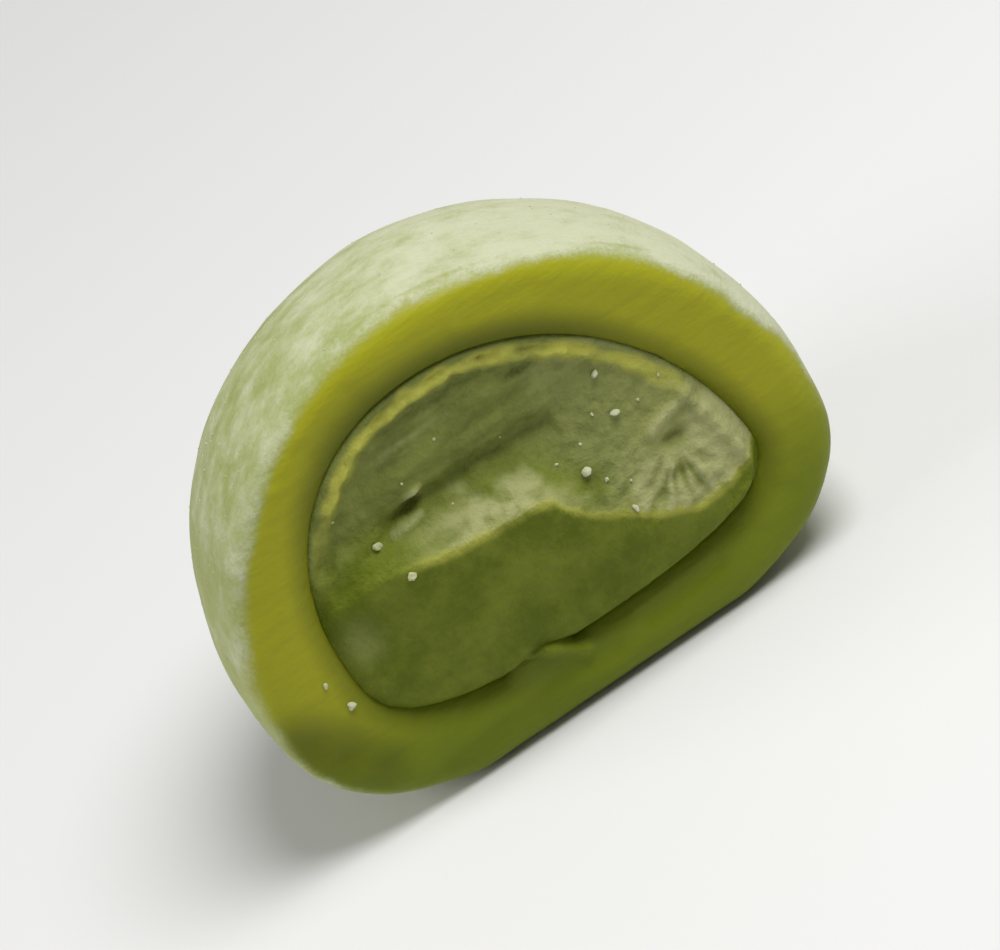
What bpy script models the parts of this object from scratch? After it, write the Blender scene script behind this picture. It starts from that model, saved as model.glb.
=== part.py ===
"""A cut green tea mochi: a soft rice skin round a green tea paste, with the knife's cut facing -Y.

The whole cake is a soft ball that has settled on a flat surface. A knife took off its front, a little
less than half, so the skin is left as a thick bowl that opens to -Y and the paste fills the bowl.
Units are metres, +Z is up, and the origin is under the middle of the piece, on the surface it stands on.
"""

import math
from dataclasses import dataclass, replace

import bpy
from mathutils import Vector, noise

# The whole cake, before it was cut
CAKE_RADIUS = 0.0212
CAKE_HEIGHT = 0.0331
CAKE_WIDEST = 0.0118  # height of its widest ring
CAKE_FOOT = -0.0008  # height where its lower curve would close if the surface didn't flatten it
PASTE_RADIUS = 0.0154
PASTE_TOP = 0.0284
PASTE_WIDEST = 0.0112
PASTE_BOTTOM = 0.0053
PASTE_OFFSET = 0.0006  # at its widest the paste sits this far to the right of the cake's axis
PASTE_LEAN = -0.11  # and it moves this far sideways for each unit that it rises

# The knife's cut
CUT_Y = -0.0042  # the cut's plane, in front of the cake's axis
RING_EDGE = 0.0016  # how far behind the cut's plane the skin's edges start to turn round
RING_SWELL = 0.0005  # how far the cut skin swells out past the plane
RING_SQUARENESS = 2.7  # 2 makes the cut skin as round as a rope, more makes it flatter
GAP = 0.0003  # between the paste and the skin

# The underside: flat, and a hair above the few low places that the piece stands on
LOW_PLACES = 5
LOW_PLACE_DEPTH = 0.0001

# The paste's cut face: the knife dragged the upper half back and left the lower half as a ledge
HOLLOW = -0.0009  # how far the upper half lies behind the cut's plane
LEDGE = 0.0019  # how far the ledge stands out of the plane at its edge
LEDGE_FOOT = 0.0009  # how far the lower half still stands out near its bottom
SLOPE_TOP_Z = 0.0194  # height where the slope down to the ledge's edge begins
LEDGE_LEFT_Z = 0.0166  # height of the ledge's edge on the left
LEDGE_RIGHT_Z = 0.0098  # and on the right
LEDGE_DROP_X = (0.0028, 0.0108)  # between these the edge drops from one to the other
LIP = 0.0006  # the thin raised lip round the upper half
LIP_WIDTH = 0.0011
FACE_SQUARENESS_BELOW = 3.6  # the face's lower edge is rounded
FACE_SQUARENESS_ABOVE = 6.0  # and its upper edge is sharper
FACE_TURNS = (-0.3, 0.5)  # heights on the unit circle between which one becomes the other

# Unevenness
CAKE_UNEVENNESS = 0.016  # share of the radius
PASTE_UNEVENNESS = 0.014
LUMP_SIZE = 0.014  # across one swell or hollow of the outside
PASTE_LUMP_SIZE = 0.008

# Mesh density
SKIN_AROUND = 64
DOME_ROWS = 16
RING_ROWS = 10
POCKET_ROWS = 10
PASTE_AROUND = 60
BACK_ROWS = 10
FACE_ROWS = 20

HEART_Z = 0.0158  # height of the point from which every surface is found
BISECTIONS = 40
TURN_LIMITS = (math.radians(30), math.radians(150))  # every surface crosses the cut between these


@dataclass
class SoftBall:
    """A settled ball of dough: round about an axis through (offset, 0), which may lean sideways."""

    offset: float
    lean: float
    radius: float
    top: float
    widest: float
    closes: float  # height where the lower curve closes, below 0 if the surface flattens it
    unevenness: float
    lump: float
    seed: float
    shoulder: float = 2.06  # exponent of the upper curve: 2 is an ellipse, more is fuller
    foot: float = 2.7  # exponent of the lower curve

    def holds(self, point):
        """Whether the point lies inside."""
        rise = point.z - self.widest
        power = self.shoulder if rise > 0 else self.foot
        half_height = self.top - self.widest if rise > 0 else self.widest - self.closes
        swell = 1 + self.unevenness * noise.noise(point / self.lump + Vector((self.seed, 0, 0)))
        sideways = point.x - self.offset - self.lean * rise
        across = math.hypot(sideways, point.y) / (self.radius * swell)
        return point.z >= 0 and across**power + (abs(rise) / half_height) ** power <= 1


CAKE = SoftBall(
    offset=0.0,
    lean=0.0,
    radius=CAKE_RADIUS,
    top=CAKE_HEIGHT,
    widest=CAKE_WIDEST,
    closes=CAKE_FOOT,
    unevenness=CAKE_UNEVENNESS,
    lump=LUMP_SIZE,
    seed=3.7,
)
PASTE = SoftBall(
    offset=PASTE_OFFSET,
    lean=PASTE_LEAN,
    radius=PASTE_RADIUS,
    top=PASTE_TOP,
    widest=PASTE_WIDEST,
    closes=PASTE_BOTTOM,
    unevenness=PASTE_UNEVENNESS,
    lump=PASTE_LUMP_SIZE,
    seed=8.2,
)
POCKET = replace(
    PASTE,
    radius=PASTE_RADIUS + GAP,
    top=PASTE_TOP + GAP,
    closes=PASTE_BOTTOM - GAP,
)
HEART = Vector((PASTE_OFFSET, 0, HEART_Z))


def smoothstep(low, high, value):
    """0 up to low, 1 from high, and an S curve between them."""
    share = min(1.0, max(0.0, (value - low) / (high - low)))
    return share * share * (3 - 2 * share)


def direction(turn, around):
    """The unit vector at angle turn from +Y, on the side that around gives in the XZ plane."""
    return Vector(
        (math.sin(turn) * math.cos(around), math.cos(turn), math.sin(turn) * math.sin(around))
    )


def surface(ball, turn, around):
    """The ball's surface in that direction from the heart."""
    toward = direction(turn, around)
    near, far = 0.0, 2 * CAKE_RADIUS
    for _ in range(BISECTIONS):
        middle = (near + far) / 2
        if ball.holds(HEART + toward * middle):
            near = middle
        else:
            far = middle
    return HEART + toward * near


def turn_at(ball, around, y):
    """The angle from +Y at which the ball's surface crosses the plane at y, on that side."""
    low, high = TURN_LIMITS
    for _ in range(BISECTIONS):
        middle = (low + high) / 2
        if surface(ball, middle, around).y > y:
            low = middle
        else:
            high = middle
    return low


def skin_meridian(around):
    """One line of the skin: over the dome from the back, across the cut ring, and into the pocket."""
    edge_y = CUT_Y + RING_EDGE
    outer_turn = turn_at(CAKE, around, edge_y)
    inner_turn = turn_at(POCKET, around, edge_y)
    line = [surface(CAKE, outer_turn * row / DOME_ROWS, around) for row in range(DOME_ROWS)]
    outer, inner = surface(CAKE, outer_turn, around), surface(POCKET, inner_turn, around)
    for row in range(RING_ROWS + 1):
        arc = math.pi * row / RING_ROWS
        across = math.copysign(abs(math.cos(arc)) ** (2 / RING_SQUARENESS), math.cos(arc))
        out = max(0.0, math.sin(arc)) ** (2 / RING_SQUARENESS)
        point = (outer + inner) / 2 + (outer - inner) / 2 * across
        point.y = edge_y - (RING_EDGE + RING_SWELL) * out
        line.append(point)
    for row in range(1, POCKET_ROWS + 1):
        line.append(surface(POCKET, inner_turn * (1 - row / POCKET_ROWS), around))
    return line


def ledge_edge_z(x):
    """Height of the ledge's edge at x."""
    return LEDGE_LEFT_Z + (LEDGE_RIGHT_Z - LEDGE_LEFT_Z) * smoothstep(*LEDGE_DROP_X, x)


def relief(x, z, from_rim):
    """How far the paste's cut face stands out of the cut's plane."""
    edge_z = ledge_edge_z(x)
    lower = LEDGE_FOOT + (LEDGE - LEDGE_FOOT) * smoothstep(PASTE_BOTTOM, edge_z, z)
    stands = 1 - smoothstep(edge_z, SLOPE_TOP_Z, z)
    lip = LIP * (1 - smoothstep(0, LIP_WIDTH, abs(from_rim - LIP_WIDTH))) * (1 - stands)
    return HOLLOW + (lower - HOLLOW) * stands + lip


def paste_meridian(around):
    """One line of the paste: along the back from its pole, round the rim, and over the cut face."""
    edge_y = CUT_Y + RING_EDGE
    rim_turn = turn_at(PASTE, around, edge_y)
    line = [surface(PASTE, rim_turn * row / BACK_ROWS, around) for row in range(BACK_ROWS)]
    rim = surface(PASTE, rim_turn, around)
    centre = Vector((HEART.x, edge_y, HEART.z))
    up = smoothstep(*FACE_TURNS, math.sin(around))
    squareness = FACE_SQUARENESS_BELOW + (FACE_SQUARENESS_ABOVE - FACE_SQUARENESS_BELOW) * up
    for row in range(FACE_ROWS + 1):
        share = math.cos(math.pi / 2 * row / FACE_ROWS)
        point = centre.lerp(rim, share)
        out = (1 - share**squareness) ** (1 / squareness)
        from_rim = (rim - point).length
        point.y = edge_y - (RING_EDGE + relief(point.x, point.z, from_rim)) * out
        line.append(point)
    return line


def shaped_sphere(name, around_count, meridian, material, parent):
    """A UV sphere whose pole points to the back, with each of its vertices moved onto the meridians."""
    row_count = len(meridian(0.0)) - 1
    bpy.ops.mesh.primitive_uv_sphere_add(segments=around_count, ring_count=row_count, radius=1)
    body = bpy.context.object
    body.name = name
    body.data.name = name
    lines = [meridian(2 * math.pi * step / around_count) for step in range(around_count)]
    for vertex in body.data.vertices:
        row = round(math.acos(max(-1.0, min(1.0, vertex.co.z))) / math.pi * row_count)
        around = math.atan2(-vertex.co.y, vertex.co.x)  # the sphere's -Y side becomes the top
        step = round(around / (2 * math.pi) * around_count) % around_count
        vertex.co = lines[step][row]
    body.data.shade_smooth()
    body.data.materials.append(material)
    body.parent = parent
    return body


def stand_on_low_places(skin):
    """Lifts the flat underside a hair, except for its outermost vertex in each of a few directions."""
    underside = [vertex for vertex in skin.data.vertices if vertex.co.z < LOW_PLACE_DEPTH]
    low_places = set()
    for place in range(LOW_PLACES):
        around = math.pi / 2 + 2 * math.pi * place / LOW_PLACES
        outward = Vector((math.cos(around), math.sin(around), 0))
        low_places.add(max(underside, key=lambda vertex: vertex.co.dot(outward)).index)
    for vertex in underside:
        vertex.co.z = 0 if vertex.index in low_places else LOW_PLACE_DEPTH


def food_material(name, colour, roughness):
    """A plain surface of that colour."""
    material = bpy.data.materials.new(name)
    material.use_nodes = True
    shader = material.node_tree.nodes["Principled BSDF"]
    shader.inputs["Base Color"].default_value = (*colour, 1)
    shader.inputs["Roughness"].default_value = roughness
    shader.inputs["Metallic"].default_value = 0
    return material


def stand_at_origin(stand, bodies):
    """Moves the stand so that the middle of the piece is over the origin."""
    corners = [vertex.co for body in bodies for vertex in body.data.vertices]
    for axis in range(2):
        lowest = min(corner[axis] for corner in corners)
        highest = max(corner[axis] for corner in corners)
        stand.location[axis] = -(lowest + highest) / 2


def main():
    for item in list(bpy.data.objects):
        bpy.data.objects.remove(item)
    parts = bpy.data.collections.new("cut_mochi")
    bpy.context.scene.collection.children.link(parts)
    layers = bpy.context.view_layer.layer_collection.children
    bpy.context.view_layer.active_layer_collection = layers["cut_mochi"]

    stand = bpy.data.objects.new("cut_mochi_stand", None)
    parts.objects.link(stand)
    dough = food_material("dusted_rice_dough", (0.42, 0.45, 0.20), 0.75)
    paste = food_material("green_tea_paste", (0.16, 0.20, 0.05), 0.5)
    skin = shaped_sphere("rice_skin", SKIN_AROUND, skin_meridian, dough, stand)
    stand_on_low_places(skin)
    filling = shaped_sphere("tea_paste", PASTE_AROUND, paste_meridian, paste, stand)
    stand_at_origin(stand, (skin, filling))


main()
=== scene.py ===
"""The looks of a cut green tea mochi: dusted rice dough round green tea paste, on a pale floor."""

import math
import random

import bmesh
import bpy
from mathutils import Euler, Matrix, Vector, kdtree, noise


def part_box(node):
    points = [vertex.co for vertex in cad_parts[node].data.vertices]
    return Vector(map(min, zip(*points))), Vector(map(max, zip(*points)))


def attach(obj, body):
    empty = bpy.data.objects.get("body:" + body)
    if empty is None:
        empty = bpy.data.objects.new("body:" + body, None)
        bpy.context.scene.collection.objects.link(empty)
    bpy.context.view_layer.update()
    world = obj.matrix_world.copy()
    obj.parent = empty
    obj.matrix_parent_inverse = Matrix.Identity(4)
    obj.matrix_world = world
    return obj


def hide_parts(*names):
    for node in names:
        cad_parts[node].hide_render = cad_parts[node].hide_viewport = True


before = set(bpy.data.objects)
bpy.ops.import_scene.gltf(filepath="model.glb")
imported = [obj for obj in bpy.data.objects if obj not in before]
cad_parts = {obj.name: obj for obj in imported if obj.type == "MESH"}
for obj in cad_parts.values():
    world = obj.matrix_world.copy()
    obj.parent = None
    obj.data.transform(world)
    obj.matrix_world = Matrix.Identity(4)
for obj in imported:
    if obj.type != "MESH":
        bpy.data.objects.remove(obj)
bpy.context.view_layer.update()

MM = 0.001

# --- where the frame says things are ------------------------------------------------------------
SKIN_LOW, SKIN_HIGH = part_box("rice_skin")
PASTE_LOW, PASTE_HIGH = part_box("tea_paste")
RING_SWELL = 0.5 * MM  # how far the cut skin swells out past the knife's plane
RING_ROUND = 1.6 * MM  # how far behind the plane its edges start to turn round
CUT_Y = SKIN_LOW.y + RING_SWELL
EDGE_Y = CUT_Y + RING_ROUND

# --- the cake -----------------------------------------------------------------------------------
CAKE_RADIUS = (SKIN_HIGH.x - SKIN_LOW.x) / 2
CAKE_X = (SKIN_HIGH.x + SKIN_LOW.x) / 2
AXIS_Y = SKIN_HIGH.y - CAKE_RADIUS
CAKE_TOP = SKIN_HIGH.z
CAKE_WIDEST = 11.8 * MM
CAKE_SAG = -0.8 * MM  # where its lower curve would close if the floor didn't flatten it
RING_OUTER_TURN = 2.0 * MM  # width of the ring's outer rounding
RING_INNER_TURN = 2.9 * MM  # and of its inner rounding
MOUTH_Y = CUT_Y + 0.6 * MM  # where the pocket starts to open out, and the paste to round off

RING_BACK_Y = MOUTH_Y + 0.6 * MM  # only the ring lies in front of this
OUTSIDE_SHARE = 0.85  # the dome's surface lies further out than this share of the cake's own shape
SKIN_SWELLS = ((12 * MM, 0.7 * MM), (4.5 * MM, 0.22 * MM))  # size and depth of its unevenness
SKIN_RIPPLES = (2.2 * MM, 0.05 * MM)
SKIN_SMOOTHING = 12

# Starch on the outside
STARCH_AND_LIGHT_SIDE = Vector((0.88, -0.1, 0.46))  # it is whiter on what faces this way, up and to the right: thicker starch there, and painted light
STARCH_REACH = (  # how far it comes in over the ring's edge: (degrees clockwise from the top, mm)
    (-180, 0.2), (-150, 0.4), (-125, 0.8), (-97, 0.7), (-75, 1.2), (-60, 1.3), (-30, 0.6), (0, 0.3),
    (55, 0.4), (80, 0.9), (98, 0.2), (180, 0.0),
)
STARCH_FADE = (-0.9 * MM, 0.7 * MM)  # it thins out from the first to the second of these past its reach
BARER_SHADED_LEFT = (13 * MM, 20 * MM)  # this far left of the middle it gets thinner: thinner starch, and painted shade on the side away from the main lamp
BARER_SHADED_SHARE = 0.35

# Marks on the ring: the two places (x, z) of a line, how the dough moved there, and how far off the
# line it still followed, all in millimetres, x from the middle of the cake
FOOT_FOLD = ((-3.0, 6.1), (-0.7, 4.3))  # the crest of the fold that laps over the paste's foot, left free of painted shade as a painted highlight
RING_STROKES = (
    (((-4.8, 5.2), (-2.6, 5.3)), (0, -0.45, 1.05), 1.6),
    (FOOT_FOLD, (0, -0.6, 0.1), 0.9),
    (((-4.2, 3.6), (0.8, 2.9)), (0, 0.2, 0), 1.0),
    (((3.5, 3.4), (9.5, 3.9)), (0, 0.22, 0), 1.0),
    (((-18.6, 9.5), (-17.9, 7.5)), (0, 0.45, 0), 2.4),
    (((4.0, 30.6), (8.0, 29.4)), (0, 0.14, 0), 1.6),
    (((-9.0, 27.6), (-5.0, 29.6)), (0, 0.16, 0), 1.7),
)
STROKE_GRIP = 0.22 * MM  # the vertices this near the line are the ones that are pulled

# Painted shade on the dough, darker than the rest: next to the paste and in two places on the ring
SHADE_NEAR = 0.4 * MM  # the painted shade is darkest this near the paste
SHADE_REACH = 2.3 * MM  # and gone this far from it
SHADE_REACH_ABOVE = 0.9 * MM  # which is this much more above the paste
SHADE_BESIDE = 0.62  # how dark the painted shade gets beside the paste, where above it is 1
ABOVE_PASTE = (0.3, 0.9)  # how steeply up a place must lie from the middle of the cut to be above
LOW_LEFT = ((-20.4, 10.7), (-16.3, 5.7))  # a dent low on the ring's left, darkened with painted shade
LOW_LEFT_WIDTH = 3.4
LOW_LEFT_SHARE = 0.85
LOW_RING = ((-12.0, 2.6), (-3.0, 3.0))  # painted shade in a crease along its bottom
LOW_RING_WIDTH = 1.5
LOW_RING_SHARE = 0.35
SHADE_PATTERN = (0.35, (2.6, 2.6), 91.0)
SHADE_LEVEL = 0.85

# --- the paste ----------------------------------------------------------------------------------
PASTE_RADIUS = 15.4 * MM
PASTE_X = CAKE_X + 0.6 * MM
PASTE_TOP = PASTE_HIGH.z
PASTE_WIDEST = 11.2 * MM
PASTE_BOTTOM = PASTE_LOW.z
PASTE_LEAN = -0.11
PASTE_TURN = 0.8 * MM  # width of the rounding at its rim
PASTE_BITE = 0.3 * MM  # how far the paste reaches into the skin
HEART = Vector((PASTE_X, CUT_Y, 15.8 * MM))  # the middle of the cut

# --- roundings, and how finely things are made --------------------------------------------------
SHOULDER = 2.06  # exponent of a settled ball's upper curve: 2 is an ellipse, more is fuller
FOOT = 2.7  # exponent of its lower curve
ROUND = 2.0  # exponent of the rounding at an edge: 2 is a quarter circle, more is sharper
SQUARER = 2.3  # the one for the edges that are sharper than that
POCKET_EXTRA = 2 * MM  # how far the solid that hollows the skin goes on in front of it
BALL_SEGMENTS, BALL_RINGS = 96, 64
SAME_HEIGHT = 0.001 * MM  # vertices this near in height are in one ring
TURN_STEPS = 8  # steps in the rounding of an edge
OUTLINE_STEP = 0.1 * MM  # between the places on an outline that distances are taken to
SKIN_GRID = 0.285 * MM  # size of the faces
PASTE_GRID = 0.19 * MM


# --- tools --------------------------------------------------------------------------------------
def deselect_all():
    """Leaves nothing selected."""
    bpy.ops.object.select_all(action="DESELECT")


def activate(piece):
    """Makes the piece the only one selected, and the active one."""
    deselect_all()
    piece.select_set(True)
    bpy.context.view_layer.objects.active = piece


def edit(piece):
    """Opens the piece in edit mode, with nothing selected."""
    activate(piece)
    bpy.ops.object.mode_set(mode="EDIT")
    bpy.ops.mesh.select_mode(type="VERT")
    bpy.ops.mesh.select_all(action="DESELECT")


def leave_edit():
    """Closes edit mode."""
    bpy.ops.object.mode_set(mode="OBJECT")


def pick(piece, test):
    """Selects the vertices whose place passes the test, and no others."""
    bpy.ops.mesh.select_all(action="DESELECT")
    mesh = bmesh.from_edit_mesh(piece.data)
    for vertex in mesh.verts:
        if test(vertex.co):
            vertex.select_set(True)
    mesh.select_flush_mode()
    bmesh.update_edit_mesh(piece.data)


def shape(piece, kind, **settings):
    """Adds a modifier to the piece and applies it."""
    activate(piece)
    modifier = piece.modifiers.new(kind.lower(), kind)
    for name, value in settings.items():
        setattr(modifier, name, value)
    bpy.ops.object.modifier_apply(modifier=modifier.name)


def make_uneven(piece, size, depth):
    """Swells and hollows about that size across, up to half the depth each way."""
    clouds = bpy.data.textures.new(f"clouds_{piece.name}", "CLOUDS")
    clouds.noise_scale = size
    clouds.noise_depth = 1
    shape(piece, "DISPLACE", texture=clouds, texture_coords="LOCAL", strength=depth, mid_level=0.5)


def slice_off(point, keeps):
    """Cuts the open piece at a plane, keeps the side that the second vector points to, and closes it."""
    bpy.ops.mesh.select_all(action="SELECT")
    bpy.ops.mesh.bisect(plane_co=point, plane_no=keeps, clear_inner=True, use_fill=True)


def draw_out(piece, reach, inward, squareness):
    """Draws the selected face out to -Y by reach, while it narrows, or opens, along a rounded curve.

    Gives back the places of the face's outline from before."""
    places = [vertex.co.copy() for vertex in bmesh.from_edit_mesh(piece.data).verts if vertex.select]
    low = Vector(min(co[axis] for co in places) for axis in range(3))
    high = Vector(max(co[axis] for co in places) for axis in range(3))
    half = (high - low) / 2
    done_out, done_in = 0.0, 0.0
    for step in range(1, TURN_STEPS + 1):
        turn = math.pi / 2 * step / TURN_STEPS
        out = reach * math.sin(turn) ** (2 / squareness)
        within = inward * (1 - max(0.0, math.cos(turn)) ** (2 / squareness))
        bpy.ops.mesh.extrude_region_move(TRANSFORM_OT_translate={"value": (0, done_out - out, 0)})
        narrower = ((half.x - within) / (half.x - done_in), 1, (half.z - within) / (half.z - done_in))
        bpy.ops.transform.resize(value=narrower, center_override=(low + high) / 2)
        done_out, done_in = out, within
    return places


def settled_ball(name, radius, top, widest, closes, centre_x, lean=0.0):
    """A ball of dough that has settled: a sphere whose rings are each widened, lifted and shifted."""
    bpy.ops.mesh.primitive_uv_sphere_add(
        segments=BALL_SEGMENTS,
        ring_count=BALL_RINGS,
        radius=radius,
        location=(centre_x, AXIS_Y, widest),
    )
    ball = bpy.context.object
    ball.name = name
    bpy.ops.object.transform_apply(location=True, rotation=True, scale=True)
    edit(ball)
    for ring in range(BALL_RINGS + 1):
        turn = math.pi * ring / BALL_RINGS
        height = radius * math.cos(turn)
        across = radius * math.sin(turn)
        half_height = top - widest if height > 0 else widest - closes
        power = SHOULDER if height > 0 else FOOT
        rise = height / radius * half_height
        pick(ball, lambda co: abs(co.z - widest - height) < SAME_HEIGHT)
        if 0 < ring < BALL_RINGS:
            wider = radius * (1 - abs(height / radius) ** power) ** (1 / power) / across
            middle = (centre_x, AXIS_Y, widest + height)
            bpy.ops.transform.resize(value=(wider, wider, 1), center_override=middle)
        bpy.ops.transform.translate(value=(lean * rise, 0, rise - height))
    leave_edit()
    return ball


def smoothstep(low, high, value):
    """0 up to low, 1 from high, and an S curve between them."""
    share = min(1.0, max(0.0, (value - low) / (high - low)))
    return share * share * (3 - 2 * share)


def lumps(x, z, pattern):
    """A smooth uneven pattern, given as its greatest height, the size of its lumps and a seed."""
    height, (across, upward), seed = pattern
    return height * noise.noise(Vector((x / across, z / upward, seed)))


def bump_at(x, z, centre, size):
    """1 in the middle of a round or oblong spot, falling to 0 at its edge."""
    away = math.hypot((x - centre[0]) / size[0], (z - centre[1]) / size[1])
    return 1 - smoothstep(0, 1, away)


def line_at(x, z, ends, width):
    """1 along the line between two places, falling to 0 at that distance from it."""
    (x0, z0), (x1, z1) = ends
    run_x, run_z = x1 - x0, z1 - z0
    share = max(0.0, min(1.0, ((x - x0) * run_x + (z - z0) * run_z) / (run_x**2 + run_z**2)))
    return 1 - smoothstep(0, width, math.hypot(x - x0 - share * run_x, z - z0 - share * run_z))


def terraces(value, count):
    """The value, brought to count flat steps with soft risers between them."""
    step = math.floor(value * count)
    return (step + smoothstep(0.3, 1.0, value * count - step)) / count


def on_face(co):
    """The place's x and z in millimetres, x from the middle of the cake."""
    return (co.x - CAKE_X) / MM, co.z / MM


def along(points, x):
    """The height at x of the line through the points."""
    for (x0, z0), (x1, z1) in zip(points, points[1:]):
        if x <= x1:
            return z0 + (z1 - z0) * max(0.0, (x - x0) / (x1 - x0))
    return points[-1][1]


def distance_to(outline):
    """A function that gives a place's distance to the closed outline, seen from the front."""
    flat = [Vector((place.x, 0, place.z)) for place in outline]
    flat.sort(key=lambda place: math.atan2(place.z - HEART.z, place.x - HEART.x))
    dense = []
    for start, end in zip(flat, flat[1:] + flat[:1]):
        steps = max(1, round((end - start).length / OUTLINE_STEP))
        dense += [start.lerp(end, step / steps) for step in range(steps)]
    tree = kdtree.KDTree(len(dense))
    for index, place in enumerate(dense):
        tree.insert(place, index)
    tree.balance()
    return lambda co: tree.find(Vector((co.x, 0, co.z)))[2]


def stroke(piece, ends, move, reach):
    """Pulls the open piece's ring along the line between two places, as a finger or a knife would."""
    start, end = (Vector((CAKE_X + x * MM, 0, z * MM)) for x, z in ends)
    line = end - start

    def near(co):
        place = Vector((co.x, 0, co.z))
        share = max(0.0, min(1.0, (place - start).dot(line) / line.length_squared))
        return co.y < RING_BACK_Y and (place - start - line * share).length < STROKE_GRIP

    pick(piece, near)
    bpy.ops.transform.translate(
        value=Vector(move) * MM,
        use_proportional_edit=True,
        proportional_edit_falloff="SMOOTH",
        proportional_size=reach * MM,
    )


def mark(piece, name, value_at):
    """Gives each of the piece's vertices a number, worked out from the vertex."""
    layer = piece.data.attributes.new(name, "FLOAT", "POINT")
    layer.data.foreach_set("value", [value_at(vertex) for vertex in piece.data.vertices])


# --- the rice dough -----------------------------------------------------------------------------
def carve_pocket():
    """A solid of the pocket's shape, whose mouth opens in a round curve, and the mouth's outline."""
    pocket = settled_ball(
        "pocket",
        PASTE_RADIUS,
        PASTE_TOP,
        PASTE_WIDEST,
        PASTE_BOTTOM,
        PASTE_X,
        PASTE_LEAN,
    )
    edit(pocket)
    slice_off((0, MOUTH_Y, 0), (0, 1, 0))
    mouth = draw_out(pocket, MOUTH_Y - CUT_Y + RING_SWELL, -RING_INNER_TURN, ROUND)
    bpy.ops.mesh.extrude_region_move(TRANSFORM_OT_translate={"value": (0, -POCKET_EXTRA, 0)})
    leave_edit()
    return pocket, mouth


def is_outside(co):
    """Whether the place is on the outside of the cake, and not on the ring or in the pocket."""
    rise = co.z - CAKE_WIDEST
    half_height = CAKE_TOP - CAKE_WIDEST if rise > 0 else CAKE_WIDEST - CAKE_SAG
    power = SHOULDER if rise > 0 else FOOT
    across = math.hypot(co.x - CAKE_X, co.y - AXIS_Y) / CAKE_RADIUS
    return across**power + (abs(rise) / half_height) ** power > OUTSIDE_SHARE


def model_skin():
    """The dough: a settled ball cut flat in front, with a pocket and a ring with round edges."""
    skin = settled_ball("rice_dough_skin", CAKE_RADIUS, CAKE_TOP, CAKE_WIDEST, CAKE_SAG, CAKE_X)
    for size, depth in SKIN_SWELLS:
        make_uneven(skin, size, depth)
    edit(skin)
    slice_off((0, 0, 0), (0, 0, 1))
    slice_off((0, EDGE_Y, 0), (0, 1, 0))
    edge = draw_out(skin, RING_ROUND + RING_SWELL, RING_OUTER_TURN, SQUARER)
    leave_edit()
    pocket, mouth = carve_pocket()
    shape(skin, "BOOLEAN", object=pocket, operation="DIFFERENCE", solver="EXACT")
    bpy.data.objects.remove(pocket)
    shape(skin, "REMESH", mode="VOXEL", voxel_size=SKIN_GRID)
    shape(skin, "SMOOTH", factor=0.5, iterations=SKIN_SMOOTHING)
    make_uneven(skin, *SKIN_RIPPLES)
    edit(skin)
    for ends, move, reach in RING_STROKES:
        stroke(skin, ends, move, reach)
    leave_edit()
    lowest = min(vertex.co.z for vertex in skin.data.vertices)
    skin.data.transform(Matrix.Translation((0, 0, -lowest)))
    skin.data.shade_smooth()
    mark_skin(skin, distance_to(edge), distance_to(mouth))
    return skin


def mark_skin(skin, edge_distance, mouth_distance):
    """Marks where the skin is starched, where it is painted whiter towards the upper right (thicker starch
    and painted light), and where it is darkened with painted shade.
    """

    def outside_at(vertex):
        # Thinner to the left: thinner starch, and painted shade on that side.
        starched = 1 - BARER_SHADED_SHARE * smoothstep(*BARER_SHADED_LEFT, CAKE_X - vertex.co.x)
        if vertex.co.y > EDGE_Y:
            return starched * is_outside(vertex.co)
        turn = math.degrees(math.atan2(vertex.co.x - HEART.x, vertex.co.z - HEART.z))
        thick_to, thin_to = (along(STARCH_REACH, turn) * MM + past for past in STARCH_FADE)
        return starched * (1 - smoothstep(thick_to, thin_to, edge_distance(vertex.co)))

    def starch_and_painted_light_at(vertex):
        # Whiter where it faces up and to the right: thicker starch, and painted light.
        return max(0.0, vertex.normal.dot(STARCH_AND_LIGHT_SIDE))

    def painted_shade_at(vertex):
        if vertex.co.y > EDGE_Y + 2 * MM:
            return 0.0
        x, z = on_face(vertex.co)
        # Painted shade in the dent low on the left and in the crease along the bottom.
        dent = LOW_LEFT_SHARE * line_at(x, z, LOW_LEFT, LOW_LEFT_WIDTH)
        crease = LOW_RING_SHARE * line_at(x, z, LOW_RING, LOW_RING_WIDTH)
        patch = (SHADE_LEVEL + lumps(x, z, SHADE_PATTERN)) * max(dent, crease)
        # Painted shade next to the paste, deeper above it, where the ring's inner edge faces down.
        toward = Vector((vertex.co.x - HEART.x, 0, vertex.co.z - HEART.z)).normalized()
        above = smoothstep(*ABOVE_PASTE, toward.z)
        reach = SHADE_REACH + SHADE_REACH_ABOVE * above
        near_paste = SHADE_BESIDE + (1 - SHADE_BESIDE) * above
        near_paste *= 1 - smoothstep(SHADE_NEAR, reach, mouth_distance(vertex.co))
        # The fold's crest is kept out of the painted shade: a painted highlight streak along it.
        return min(1.0, max(patch, near_paste)) * (1 - line_at(x, z, FOOT_FOLD, 0.8))

    mark(skin, "outside", outside_at)
    mark(skin, "painted_shade", painted_shade_at)
    mark(skin, "starch_and_painted_light", starch_and_painted_light_at)


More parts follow.
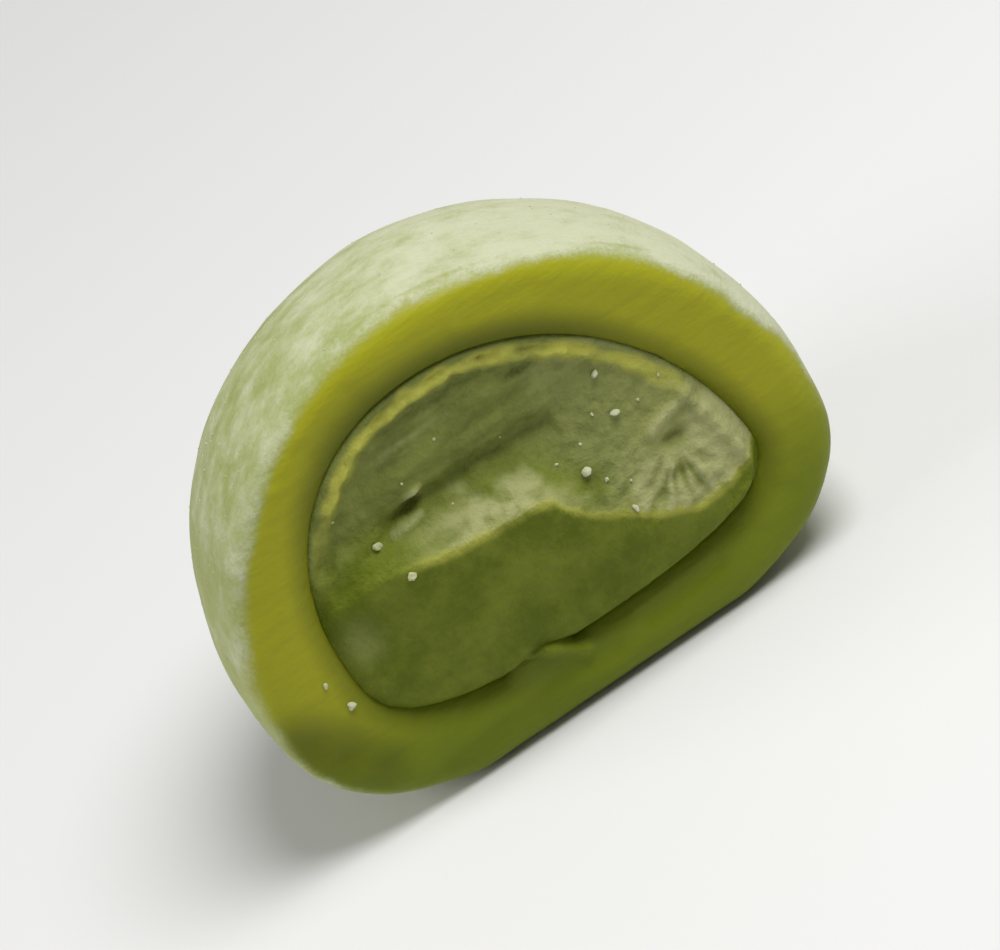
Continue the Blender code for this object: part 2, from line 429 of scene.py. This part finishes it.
# --- the tea paste ------------------------------------------------------------------------------
# Lines across the paste's cut face: (x, value) in millimetres, x from the middle of the cake
LEDGE_EDGE = (
    (-15.0, 16.6), (-9.4, 17.5), (-6.0, 17.1), (-4.2, 16.8), (0.0, 16.3), (2.3, 16.0), (3.0, 14.6),
    (4.6, 12.9), (6.5, 11.6), (8.5, 10.0), (10.5, 9.1), (13.0, 9.3), (16.0, 10.4),
)
SLOPE_TOP = (
    (-15.0, 18.0), (-9.4, 19.0), (-4.2, 19.7), (3.9, 19.6), (4.7, 19.2), (7.0, 20.0), (16.0, 21.0),
)
LEDGE_OUT = (
    (-15.0, 0.3), (-11.5, 0.8), (-9.0, 1.3), (-5.0, 1.85), (3.0, 1.9), (6.0, 1.75), (11.0, 1.5), (16.0, 0.8),
)
TROUGH_OUT = (
    (-15.0, 0.1), (-11.5, 0.25), (-9.0, -0.3), (-7.0, -1.1), (-4.0, -1.4), (3.8, -1.6), (5.2, -1.0),
    (9.0, -0.6), (16.0, -0.2),
)
PLATEAU_OUT = -0.6
SCARP = (0.5, 1.5)  # the plateau drops to the trough between these heights over the slope's top
PLATEAU_ROUGH = (0.9, 1.7)  # and it is rough from there
PLATEAU_STEP = 0.5
GRITTY_FROM, GRITTY_TO = 3.4, 4.8  # the slope gets gritty between these
GRIT_LEFT, GRIT_RIGHT = 0.04, 0.09
LEDGE_SAG, LEDGE_FOOT_SAG = 0.16, 0.3  # shares of its relief that the ledge loses on the way down

LIP_OUT = 0.6  # how far the thin lip along the upper rim stands out of the plateau
LIP_FROM_RIM = 1.25
LIP_HALF_WIDTH = 0.7
LIP_HEIGHTS = (20.0, 23.5)  # it rises between these
SMEAR_HEIGHTS = (18.5, 22.5)  # and the dough smeared on it begins between these
LIP_LOWER_RIGHT = (6, 12)  # towards the right it comes down lower
LIP_LOWER_BY = 3
LIP_LUMP = (-1.5, 27.6)

SLIT_LEFT, SLIT_RIGHT, SLIT_HEIGHT = -7.5, -4.1, 19.8
SLIT_RISE = 0.06
SLIT_DEPTH = 0.75
SLIT_EDGE_OUT = 0.5  # its lower edge is raised
SLIT_EDGE = ((-7.3, 19.0), (-5.2, 19.2))
FLAKE = (-4.9, 20.75)
FLAKE_OUT = 0.6

DIMPLE = (11.3, 13.9)
DIMPLE_DEPTH = 0.8
DRAG_DEPTH = 0.42  # of the fine ridges that fan out from the dimple
DRAG_TOWARD = -2.1  # angle of their middle from +X, in radians
FOLD = ((10.2, 15.3), (14.6, 16.8))  # a crease that runs from above the dimple to the rim
FOLD_OUT = 0.4
NOTCH = (4.9, 19.2)
NOTCH_DEPTH = 0.5
FOOT_GROOVE = ((-5.8, 5.7), (-3.2, 6.8), (-1.3, 5.7))  # where the dough's fold presses into the paste
FOOT_GROOVE_DEPTH = 0.6

# Uneven patterns: greatest height, size of the lumps (across, upward) and seed
EDGE_WAVES = (0.25, (1.6, 1), 3.1)
EDGE_NICKS = (0.1, (0.45, 1), 7.7)
TOP_WAVES = (0.35, (1.9, 1), 11.3)
LEDGE_SWELLS = (0.07, (3.2, 2.2), 21.0)
SLOPE_SWELLS = (0.18, (1.5, 0.8), 31.0)
SLOPE_LUMPS = (0.16, (0.75, 0.6), 33.0)
SLOPE_GRIT = (1.0, (0.33, 0.33), 35.0)
DRAG_WANDER = (0.5, (1.6, 1.6), 37.0)
PLATEAU_STEPS = (1.0, (5.0, 1.2), 41.0)
PLATEAU_STREAKS = (0.11, (0.9, 0.35), 43.0)
PLATEAU_GRIT = (0.07, (0.4, 0.3), 45.0)
SCARP_WAVES = (0.35, (1.2, 1), 47.0)
LIP_SWELLS = (0.6, (2.1, 2.1), 51.0)
LIP_NICKS = (0.35, (0.7, 0.7), 57.0)
LIP_WANDER = (0.5, (2.4, 2.4), 53.0)
LIP_WOBBLE = (0.3, (0.8, 0.8), 55.0)
SLIT_WAVES = (0.12, (1.1, 1), 61.0)
PALE_BLOTCHES = (1.0, (1.5, 0.9), 71.0)
PALE_GAPS = (1.0, (1.1, 0.9), 73.0)
PALE_STREAKS = (1.0, (2.5, 0.6), 75.0)
SMEAR_WANDER = (0.4, (1.4, 1.4), 81.0)


def ledge_edge(x):
    """The height of the ledge's uneven edge."""
    return along(LEDGE_EDGE, x) + lumps(x, 0, EDGE_WAVES) + lumps(x, 0, EDGE_NICKS)


def paste_relief(x, z, from_rim):
    """How far the cut paste stands out of the knife's plane, in millimetres."""
    edge = ledge_edge(x)
    top = along(SLOPE_TOP, x) + lumps(x, 0, TOP_WAVES)
    if z <= edge:
        relief = ledge_relief(x, z, edge)
    elif z <= top:
        relief = slope_relief(x, z, (z - edge) / (top - edge))
    else:
        relief = plateau_relief(x, z, z - top)
    relief += DRAG_DEPTH * drag_marks(x, z)
    relief -= DIMPLE_DEPTH * bump_at(x, z, DIMPLE, (1.5, 1.0))
    relief += FOLD_OUT * line_at(x, z, FOLD, 0.7)
    groove = max(line_at(x, z, FOOT_GROOVE[:2], 0.5), line_at(x, z, FOOT_GROOVE[1:], 0.5))
    relief -= FOOT_GROOVE_DEPTH * groove
    relief -= NOTCH_DEPTH * bump_at(x, z, NOTCH, (0.8, 1.5))
    relief += lip_relief(x, z, from_rim)
    return relief + slit_relief(x, z)


def ledge_relief(x, z, edge):
    """The smooth lower half, which leans back a little towards its foot."""
    down = (edge - z) / (edge - PASTE_BOTTOM / MM)
    relief = along(LEDGE_OUT, x) * (1 - LEDGE_SAG * down - LEDGE_FOOT_SAG * down**3)
    return relief + lumps(x, z, LEDGE_SWELLS) * smoothstep(0, 2, edge - z)


def slope_relief(x, z, up):
    """The slope from the ledge's edge back to the trough, of which up is the share that lies below."""
    ledge_out, trough_out = along(LEDGE_OUT, x), along(TROUGH_OUT, x)
    grit = smoothstep(GRITTY_FROM, GRITTY_TO, x)
    relief = ledge_out + (trough_out - ledge_out) * (0.75 * up + 0.25 * smoothstep(0, 1, up))
    relief += lumps(x, z, SLOPE_SWELLS) + grit * lumps(x, z, SLOPE_LUMPS)
    return relief + (GRIT_LEFT + grit * (GRIT_RIGHT - GRIT_LEFT)) * lumps(x, z, SLOPE_GRIT)


def plateau_relief(x, z, above_top):
    """The torn plateau over the trough."""
    trough_out = along(TROUGH_OUT, x)
    above = above_top + lumps(x, 0, SCARP_WAVES)
    rough = smoothstep(*PLATEAU_ROUGH, above)
    relief = trough_out + (PLATEAU_OUT - trough_out) * smoothstep(*SCARP, above)
    relief += rough * PLATEAU_STEP * terraces(lumps(x, z, PLATEAU_STEPS), 4)
    relief += rough * lumps(x, z, PLATEAU_STREAKS)
    return relief + lumps(x, z, PLATEAU_GRIT)


def drag_marks(x, z):
    """Fine ridges, from about -0.5 to 0.5, that fan out from the dimple to the lower left."""
    away_x, away_z = x - DIMPLE[0], z - DIMPLE[1]
    distance = math.hypot(away_x, away_z)
    turn = math.atan2(away_z, away_x)
    spread = smoothstep(0.9, 2.0, distance) * (1 - smoothstep(4.5, 7.0, distance))
    low_left = 1 - smoothstep(0.7, 1.5, abs(turn - DRAG_TOWARD))
    ridges = Vector((turn * 6.0 + lumps(x, z, DRAG_WANDER), 1.3, distance / 2.5))
    return spread * low_left * noise.noise(ridges)


def lowered(x, z):
    """The height that counts for the lip, which comes down lower on the right."""
    return z + LIP_LOWER_BY * smoothstep(*LIP_LOWER_RIGHT, x)


def lip_relief(x, z, from_rim):
    """The thin uneven lip along the upper rim, with a small lump left of its top."""
    upper = smoothstep(*LIP_HEIGHTS, lowered(x, z)) * (1 - 0.35 * smoothstep(7, 12, x))
    height = LIP_OUT * (1 + lumps(x, z, LIP_SWELLS) + lumps(x, z, LIP_NICKS))
    middle = LIP_FROM_RIM + lumps(x, z, LIP_WANDER) + lumps(x, z, LIP_WOBBLE)
    ridge = 1 - smoothstep(0, LIP_HALF_WIDTH, abs(from_rim - middle))
    right = smoothstep(11, 13.5, x) * (1 - smoothstep(16, 19, z)) * 0.5
    return max(upper, right) * height * ridge + 0.35 * bump_at(x, z, LIP_LUMP, (1.0, 0.6))


def slit_relief(x, z):
    """A slit that the knife tore open, with a flake above it and a raised edge below."""
    middle = SLIT_HEIGHT + SLIT_RISE * (x - SLIT_LEFT) + lumps(x, 0, SLIT_WAVES)
    ends = smoothstep(SLIT_LEFT, SLIT_LEFT + 1.2, x) * (1 - smoothstep(SLIT_RIGHT - 1.4, SLIT_RIGHT, x))
    gap = 1 - smoothstep(0.06, 0.34, abs(z - middle))
    raised = 1 - smoothstep(0.1, 0.5, abs(z - middle + 0.75))
    flake = FLAKE_OUT * bump_at(x, z, FLAKE, (1.3, 0.42))
    return -SLIT_DEPTH * gap * ends + SLIT_EDGE_OUT * raised * ends + flake


def paste_pale_and_painted_light(x, z):
    """Where the paste is painted paler: the slope down to the ledge (dry paste, and painted sheen where it
    faces up into the light), the dry part on the right, painted light on its lit right rim, painted
    highlights on torn edges and painted shade in the dimple.
    """
    over_edge = z - ledge_edge(x)
    blotch = lumps(x, z, PALE_BLOTCHES)
    # The slope faces up into the light: dry paste, and painted sheen on it.
    slope = smoothstep(-8.5, -2.5, x) * (1 - smoothstep(0.8, 3.0, over_edge + 0.9 * blotch))
    slope *= 1 - 0.55 * smoothstep(1.8, 3.4, x)
    slope *= 1 - 0.5 * smoothstep(-0.1, 0.4, lumps(x, z, PALE_GAPS))
    right = smoothstep(4.5, 8.0, x) * (1 - 0.8 * smoothstep(12.0, 18.0, z + blotch))
    right = right * (0.9 + 1.3 * drag_marks(x, z)) + 0.5 * line_at(x, z, FOLD, 0.8)
    # Paler along the lower right rim, where its rounding is lit: painted light.
    right += 0.4 * smoothstep(11.5, 14.0, x) * (1 - smoothstep(14.5, 17.0, z))
    # Darker in the dimple: painted shade.
    right -= 0.5 * bump_at(x, z, DIMPLE, (1.5, 1.1))
    upper = 0.26 + 0.22 * smoothstep(3, 7, x) * (1 - smoothstep(23, 26, z))
    streaks = smoothstep(-0.2, 0.4, lumps(x, z, PALE_STREAKS))
    upper += 0.35 * bump_at(x, z, (-3.5, 24.5), (5.0, 1.5)) * streaks
    upper *= smoothstep(1.0, 4.5, over_edge)
    # Painted highlights on the flake and on the slit's raised edge.
    painted_highlights = 0.9 * bump_at(x, z, FLAKE, (1.3, 0.5)) + 0.6 * line_at(x, z, SLIT_EDGE, 0.45)
    left = 0.28 * bump_at(x, z, (-12.8, 14.2), (2.2, 2.8))
    above = smoothstep(-0.1, 0.2, over_edge)
    return max(0.0, min(1.0, above * max(slope, right, upper) + left + painted_highlights))


def paste_smear_and_highlight(x, z, from_rim):
    """Where dough is smeared on the paste, thick on the lip, and where a thin painted highlight runs along
    the ledge's edge.
    """
    from_rim += lumps(x, z, SMEAR_WANDER)
    on_lip = smoothstep(*SMEAR_HEIGHTS, lowered(x, z))
    on_lip *= smoothstep(0.3, 0.8, from_rim) * (1 - smoothstep(1.2, 2.1, from_rim))
    # A painted highlight in a thin line along the ledge's edge.
    on_edge = 0.55 * (1 - smoothstep(0.1, 0.55, abs(z - ledge_edge(x) + 0.1)))
    return max(on_lip, on_edge * smoothstep(-9.5, -6.0, x))


def model_paste():
    """The paste: a settled ball cut flat in front, whose cut face the knife dragged into a ledge."""
    paste = settled_ball(
        "green_tea_paste",
        PASTE_RADIUS + PASTE_BITE,
        PASTE_TOP + PASTE_BITE,
        PASTE_WIDEST,
        PASTE_BOTTOM - PASTE_BITE,
        PASTE_X,
        PASTE_LEAN,
    )
    edit(paste)
    slice_off((0, MOUTH_Y, 0), (0, 1, 0))
    rim_places = draw_out(paste, MOUTH_Y - CUT_Y, PASTE_TURN, SQUARER)
    leave_edit()
    rim_distance = distance_to(rim_places)
    shape(paste, "REMESH", mode="VOXEL", voxel_size=PASTE_GRID)
    for vertex in paste.data.vertices:
        forward = smoothstep(0, 0.45 * MM, MOUTH_Y - vertex.co.y)
        if forward > 0:
            from_rim = rim_distance(vertex.co) / MM
            inside_rim = smoothstep(0.2, 1.2, from_rim)
            vertex.co.y -= paste_relief(*on_face(vertex.co), from_rim) * MM * forward * inside_rim
    shape(paste, "REMESH", mode="VOXEL", voxel_size=PASTE_GRID)
    shape(paste, "SMOOTH", factor=0.5, iterations=1)
    paste.data.shade_smooth()

    def pale_and_painted_light_at(vertex):
        return paste_pale_and_painted_light(*on_face(vertex.co))

    def smear_and_highlight_at(vertex):
        return paste_smear_and_highlight(*on_face(vertex.co), rim_distance(vertex.co) / MM)

    mark(paste, "pale_and_painted_light", pale_and_painted_light_at)
    mark(paste, "smear_and_highlight", smear_and_highlight_at)
    return paste


# --- starch grains ------------------------------------------------------------------------------
CRUMBS = (  # on the cut: (x, z, size), in millimetres, x from the middle of the cake
    (-8.7, 19.1, 0.74), (-7.9, 16.9, 0.60), (5.3, 15.6, 0.78), (8.9, 17.7, 0.62), (9.1, 20.7, 0.58),
    (6.7, 11.8, 0.50), (-16.4, 13.0, 0.40), (-15.7, 10.6, 0.62), (7.6, 18.4, 0.34), (10.6, 17.6, 0.30),
    (3.9, 16.9, 0.26), (-10.3, 22.4, 0.24), (12.6, 18.3, 0.22), (-5.2, 21.9, 0.26), (1.8, 20.4, 0.22),
    (-3.1, 18.6, 0.20), (6.1, 14.4, 0.30), (7.4, 13.4, 0.22), (5.9, 17.1, 0.24), (-1.9, 23.3, 0.20),
)
FINE_GRAINS = 500
FINE_GRAIN_SIZES = (0.05, 0.2, 0.07)  # least, most and likeliest, in millimetres
SUNK = 0.1  # a grain's middle lies this share of its size above what it lies on
RAY_START = 10 * MM  # in front of the cut
STARCH_LOW = 1 * MM  # no grains lower down than this


def grain_at(place, size, draw, detail):
    """One uneven lump, partly sunk into what it lies on."""
    bpy.ops.mesh.primitive_ico_sphere_add(subdivisions=detail, radius=size / 2)
    grain = bpy.context.object
    seed = draw.uniform(0, 90)
    for vertex in grain.data.vertices:
        bulge = noise.noise(vertex.co / size * 1.7 + Vector((seed, 0, 0)))
        vertex.co *= 1 + 0.6 * bulge
    grain.location = place
    grain.scale = (draw.uniform(0.7, 1.3), draw.uniform(0.6, 1.0), draw.uniform(0.7, 1.2))
    grain.rotation_euler = Euler((draw.uniform(0, 6), draw.uniform(0, 6), draw.uniform(0, 6)))
    return grain


def scatter_starch(skin, paste):
    """Loose starch: white crumbs on the cut, and finer grains all over the dusted outside."""
    draw = random.Random(41)
    grains = []
    for x, z, size in CRUMBS:
        start = Vector((CAKE_X + x * MM, CUT_Y - RAY_START, z * MM))
        for surface in (paste, skin):
            hit, place, normal, _ = surface.ray_cast(start, Vector((0, 1, 0)))
            if hit and place.y < MOUTH_Y + 1 * MM:
                grains.append(grain_at(place + normal * size * MM * SUNK, size * MM, draw, 2))
                break
    dusted = [vertex for vertex in skin.data.vertices if vertex.co.y > EDGE_Y and is_outside(vertex.co)]
    dusted = [vertex for vertex in dusted if vertex.co.z > STARCH_LOW]
    for vertex in draw.sample(dusted, FINE_GRAINS):
        size = draw.triangular(*FINE_GRAIN_SIZES) * MM
        grains.append(grain_at(vertex.co + vertex.normal * size * SUNK, size, draw, 1))
    deselect_all()
    for grain in grains:
        grain.select_set(True)
    bpy.context.view_layer.objects.active = grains[0]
    bpy.ops.object.join()
    starch = bpy.context.object
    starch.name = "starch_grains"
    bpy.ops.object.transform_apply(location=True, rotation=True, scale=True)
    return starch


# --- finishes -----------------------------------------------------------------------------------
class Finish:
    """A material whose nodes are added one by one."""

    def __init__(self, name):
        self.material = bpy.data.materials.new(name)
        self.material.use_nodes = True
        self.tree = self.material.node_tree
        self.shader = self.tree.nodes["Principled BSDF"]

    def add(self, kind, sockets=None, **settings):
        """Adds a node: sockets maps its inputs to values or to other nodes' outputs."""
        node = self.tree.nodes.new("ShaderNode" + kind)
        for name, value in settings.items():
            setattr(node, name, value)
        for name, value in (sockets or {}).items():
            self.feed(node.inputs[name], value)
        return node

    def feed(self, socket, value):
        """Sets the socket to a value, or links it to an output."""
        if isinstance(value, bpy.types.NodeSocket):
            self.tree.links.new(value, socket)
        else:
            socket.default_value = value

    def number(self, name):
        """A number that the piece's vertices hold."""
        return self.add("Attribute", attribute_name=name).outputs["Fac"]

    def places(self, stretch=(1, 1, 1)):
        """Places on the piece, in metres, with the pattern stretched that much each way."""
        scale = tuple(1 / share for share in stretch)
        coordinates = self.add("TexCoord").outputs["Object"]
        return self.add("Mapping", {"Vector": coordinates, "Scale": scale}).outputs["Vector"]

    def grain(self, size, places=None, detail=3.0, roughness=0.55):
        """Noise whose grains are about size across."""
        sockets = {
            "Vector": places or self.places(), "Scale": 0.7 / size, "Detail": detail, "Roughness": roughness,
        }
        return self.add("TexNoise", sockets).outputs["Fac"]

    def ramp(self, value, low, high, to_low=0.0, to_high=1.0):
        """The value, brought from low..high to another range along an S curve."""
        sockets = {
            "Value": value, "From Min": low, "From Max": high, "To Min": to_low, "To Max": to_high,
        }
        return self.add("MapRange", sockets, interpolation_type="SMOOTHSTEP").outputs["Result"]

    def math(self, operation, first, second=0.0):
        """The first number and the second, added, multiplied and so on, and kept between 0 and 1."""
        node = self.add("Math", operation=operation, use_clamp=True)
        self.feed(node.inputs[0], first)
        self.feed(node.inputs[1], second)
        return node.outputs["Value"]

    def total(self, *parts):
        """The sum of (number, share) pairs, each number times its share, kept between 0 and 1."""
        so_far = self.math("MULTIPLY", *parts[0])
        for number, share in parts[1:]:
            so_far = self.math("ADD", so_far, self.math("MULTIPLY", number, share))
        return so_far

    def blend(self, share, first, second):
        """A colour between the two, at that share of the way."""
        node = self.add("Mix", data_type="RGBA")
        self.feed(node.inputs[0], share)
        self.feed(node.inputs[6], first if isinstance(first, bpy.types.NodeSocket) else (*first, 1))
        self.feed(node.inputs[7], second if isinstance(second, bpy.types.NodeSocket) else (*second, 1))
        return node.outputs[2]

    def bump(self, height, distance, strength=1.0, before=None):
        """A relief that deep, on top of the one before."""
        sockets = {"Height": height, "Distance": distance, "Strength": strength}
        if before:
            sockets["Normal"] = before
        return self.add("Bump", sockets).outputs["Normal"]


def plain_finish(name, colour, roughness):
    """A finish of one colour."""
    finish = Finish(name)
    finish.shader.inputs["Base Color"].default_value = (*colour, 1)
    finish.shader.inputs["Roughness"].default_value = roughness
    return finish.material


# The cut dough's colours: lighter and yellower high up, greener and darker low down, as painted light from
# above.
DOUGH_PAINTED_LIGHT = (0.335, 0.335, 0.014)
DOUGH_GREEN = (0.140, 0.185, 0.007)
DOUGH_PAINTED_SHADE = (0.070, 0.090, 0.003)  # painted shade, next to the paste and low on the ring
DOUGH_UNDER = (0.285, 0.325, 0.095)  # the skin that shows through thin starch
STARCH = (0.535, 0.555, 0.375)


def dough_finish():
    """Soft green dough, satin where it is cut and brushed with white starch outside; its cut is painted
    lighter towards the top and darkened with painted shade next to the paste.
    """
    finish = Finish("dusted_green_dough")
    outside = finish.number("outside")
    strokes = finish.grain(1.1 * MM, finish.places((1.5, 1, 1.1)), 5.0, 0.62)
    patches = finish.grain(2.8 * MM, detail=3.0)
    fine = finish.grain(0.22 * MM, detail=4.0, roughness=0.7)
    # The starch is painted whiter up and to the right, partly as painted light.
    thick = finish.number("starch_and_painted_light")
    amount = finish.total((strokes, 0.5), (patches, 0.4), (thick, 0.27), (fine, 0.18))
    ragged = finish.total(
        (finish.math("SUBTRACT", patches, 0.25), 0.9),
        (finish.math("SUBTRACT", fine, 0.3), 0.5),
    )
    border = finish.ramp(finish.total((outside, 0.75), (ragged, 1.0)), 0.5, 1.0)
    border = finish.math("MULTIPLY", border, finish.ramp(outside, 0.0, 0.3))
    dusting = finish.math("MULTIPLY", finish.ramp(amount, 0.37, 0.82), border)

    # Painted light: the cut is lighter towards the top, with some random tone mixed in.
    height = finish.add("SeparateXYZ", {"Vector": finish.places()}).outputs["Z"]
    tone = finish.grain(7 * MM, detail=2.0)
    painted_light_and_tone = finish.total((tone, 0.4), (finish.ramp(height, 3 * MM, 17 * MM, 0.08, 0.75), 1.0))
    cut = finish.blend(finish.ramp(painted_light_and_tone, 0.15, 1.0), DOUGH_GREEN, DOUGH_PAINTED_LIGHT)
    # Painted shade next to the paste and low on the ring.
    cut = finish.blend(finish.math("MULTIPLY", finish.number("painted_shade"), 0.85), cut, DOUGH_PAINTED_SHADE)
    dough = finish.blend(finish.ramp(outside, 0.1, 0.9), cut, DOUGH_UNDER)
    finish.feed(finish.shader.inputs["Base Color"], finish.blend(dusting, dough, STARCH))
    dryness = finish.total((dusting, 1.0), (fine, 0.3))
    finish.feed(finish.shader.inputs["Roughness"], finish.ramp(dryness, 0.0, 1.0, 0.42, 0.95))
    finish.shader.inputs["Specular IOR Level"].default_value = 0.14
    finish.shader.inputs["Subsurface Weight"].default_value = 0.1
    finish.shader.inputs["Subsurface Radius"].default_value = (1.0, 0.9, 0.25)
    finish.shader.inputs["Subsurface Scale"].default_value = 1.2 * MM
    drawn = finish.bump(finish.grain(0.6 * MM, finish.places((5, 1, 1)), 3.0), 0.12 * MM)
    pores = finish.bump(finish.grain(0.25 * MM, detail=2.0), 0.03 * MM, before=drawn)
    powder = finish.math("MULTIPLY", fine, dusting)
    finish.feed(finish.shader.inputs["Normal"], finish.bump(powder, 0.09 * MM, before=pores))
    return finish.material


PASTE_DARK = (0.095, 0.128, 0.004)
PASTE_MID = (0.160, 0.195, 0.016)
# Pale dragged paste, also standing for painted sheen and painted highlights on the cut.
PASTE_PALE_AND_PAINTED_LIGHT = (0.375, 0.385, 0.165)
# Dough smeared on the lip, also standing for a painted highlight along the ledge's edge.
PASTE_SMEAR_AND_HIGHLIGHT = (0.45, 0.45, 0.075)


def paste_finish():
    """Dense moist paste, dark green, paler where it was dragged dry, with painted sheen, highlights and
    dimple shade on its cut, dough smeared on its rim and a painted highlight along the ledge's edge.
    """
    finish = Finish("green_tea_paste")
    blotches = finish.grain(2.4 * MM, detail=3.0)
    grit = finish.grain(0.4 * MM, detail=4.0, roughness=0.7)
    tone = finish.ramp(finish.total((blotches, 0.7), (grit, 0.3)), 0.35, 0.65)
    body = finish.blend(tone, PASTE_DARK, PASTE_MID)
    dry = finish.ramp(finish.total((grit, 0.6), (blotches, 0.4)), 0.25, 0.6, 0.55, 1.0)
    # Paler where dragged dry, plus painted sheen, painted highlights and, in the dimple, painted shade.
    body = finish.blend(finish.math("MULTIPLY", finish.number("pale_and_painted_light"), dry), body, PASTE_PALE_AND_PAINTED_LIGHT)
    thick = finish.ramp(blotches, 0.34, 0.57, 0.4, 1.0)
    # The smear on the lip, and the painted highlight along the ledge's edge.
    smear_and_highlight = finish.math("MULTIPLY", finish.number("smear_and_highlight"), thick)
    finish.feed(finish.shader.inputs["Base Color"], finish.blend(smear_and_highlight, body, PASTE_SMEAR_AND_HIGHLIGHT))
    finish.feed(finish.shader.inputs["Roughness"], finish.ramp(grit, 0.3, 0.7, 0.42, 0.62))
    finish.shader.inputs["Specular IOR Level"].default_value = 0.13
    first = finish.bump(finish.grain(0.9 * MM, detail=2.0), 0.1 * MM)
    finish.feed(finish.shader.inputs["Normal"], finish.bump(grit, 0.2 * MM, before=first))
    return finish.material


STARCH_DRY = (0.56, 0.575, 0.40)
STARCH_DAMP = (0.42, 0.44, 0.18)  # crumbs on the cut have begun to soak up its moisture


def starch_finish():
    """Dry chalky crumbs, some of them damp and greener."""
    finish = Finish("loose_starch")
    depth = finish.add("SeparateXYZ", {"Vector": finish.places()}).outputs["Y"]
    on_cut = finish.ramp(depth, CUT_Y, EDGE_Y + 1 * MM, 1.0, 0.0)
    damp = finish.math("MULTIPLY", on_cut, finish.ramp(finish.grain(2.6 * MM, detail=2.0), 0.4, 0.62))
    chalk = finish.grain(0.12 * MM, detail=3.0, roughness=0.7)
    mottled = finish.total((damp, 0.6), (chalk, 0.2))
    finish.feed(finish.shader.inputs["Base Color"], finish.blend(mottled, STARCH_DRY, STARCH_DAMP))
    finish.feed(finish.shader.inputs["Roughness"], finish.ramp(chalk, 0.3, 0.7, 0.8, 1.0))
    finish.shader.inputs["Specular IOR Level"].default_value = 0.1
    finish.feed(finish.shader.inputs["Normal"], finish.bump(chalk, 0.012 * MM))
    return finish.material


# --- light, floor and camera --------------------------------------------------------------------
VIEW_TURN = math.radians(-3.6)
VIEW_HEIGHT = math.radians(31.15)
VIEW_ROLL = math.radians(31.97)
VIEW_DISTANCE = 600 * MM
PICTURE_WIDTH = 66 * MM  # what the camera takes in, at the cake
SENSOR = 36.0
VIEW_CENTRE = Vector((1.2 * MM, 0, 11.5 * MM))


def set_camera():
    """A long lens, rolled so that the cake leans to the left."""
    data = bpy.data.cameras.new("camera")
    camera = bpy.data.objects.new("camera", data)
    bpy.context.scene.collection.objects.link(camera)
    back = Vector((
        math.sin(VIEW_TURN) * math.cos(VIEW_HEIGHT),
        -math.cos(VIEW_TURN) * math.cos(VIEW_HEIGHT),
        math.sin(VIEW_HEIGHT),
    ))
    camera.location = VIEW_CENTRE + back * VIEW_DISTANCE
    facing = back.to_track_quat("Z", "Y").to_matrix()
    camera.rotation_euler = (facing @ Matrix.Rotation(-VIEW_ROLL, 3, "Z")).to_euler()
    data.sensor_width = SENSOR
    data.lens = SENSOR * VIEW_DISTANCE / PICTURE_WIDTH
    data.clip_start = 10 * MM
    bpy.context.scene.camera = camera


LAMPS = (  # name, size, energy and place
    ("soft_lamp", 240 * MM, 1.6, (150 * MM, -85 * MM, 360 * MM)),
    ("fill_lamp", 300 * MM, 0.75, (-350 * MM, 40 * MM, 180 * MM)),
)


def set_lights():
    """A large soft lamp above and to the right, a weaker one on the left, and a pale room all round."""
    world = bpy.data.worlds.new("pale_room")
    bpy.context.scene.world = world
    world.use_nodes = True
    room = world.node_tree.nodes["Background"]
    room.inputs["Color"].default_value = (1.0, 1.0, 1.0, 1)
    room.inputs["Strength"].default_value = 0.2
    for name, size, energy, place in LAMPS:
        data = bpy.data.lights.new(name, "AREA")
        data.shape = "DISK"
        data.size = size
        data.energy = energy
        lamp = bpy.data.objects.new(name, data)
        bpy.context.scene.collection.objects.link(lamp)
        lamp.location = place
        aim = Vector(place) - Vector((0, 0, 15 * MM))
        lamp.rotation_euler = aim.to_track_quat("Z", "Y").to_euler()


def lay_floor():
    """A plain pale floor."""
    bpy.ops.mesh.primitive_plane_add(size=3.0, location=(0, 0, 0))
    floor = bpy.context.object
    floor.name = "floor"
    floor.data.materials.append(plain_finish("pale_floor", (0.74, 0.74, 0.73), 0.6))


# --- all of it ----------------------------------------------------------------------------------
set_camera()
set_lights()
deselect_all()
lay_floor()

skin = model_skin()
skin.data.materials.append(dough_finish())
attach(skin, "root")
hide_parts("rice_skin")

paste = model_paste()
paste.data.materials.append(paste_finish())
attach(paste, "root")
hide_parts("tea_paste")

starch = scatter_starch(skin, paste)
starch.data.materials.append(starch_finish())
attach(starch, "root")

bpy.context.scene.view_settings.view_transform = "Standard"
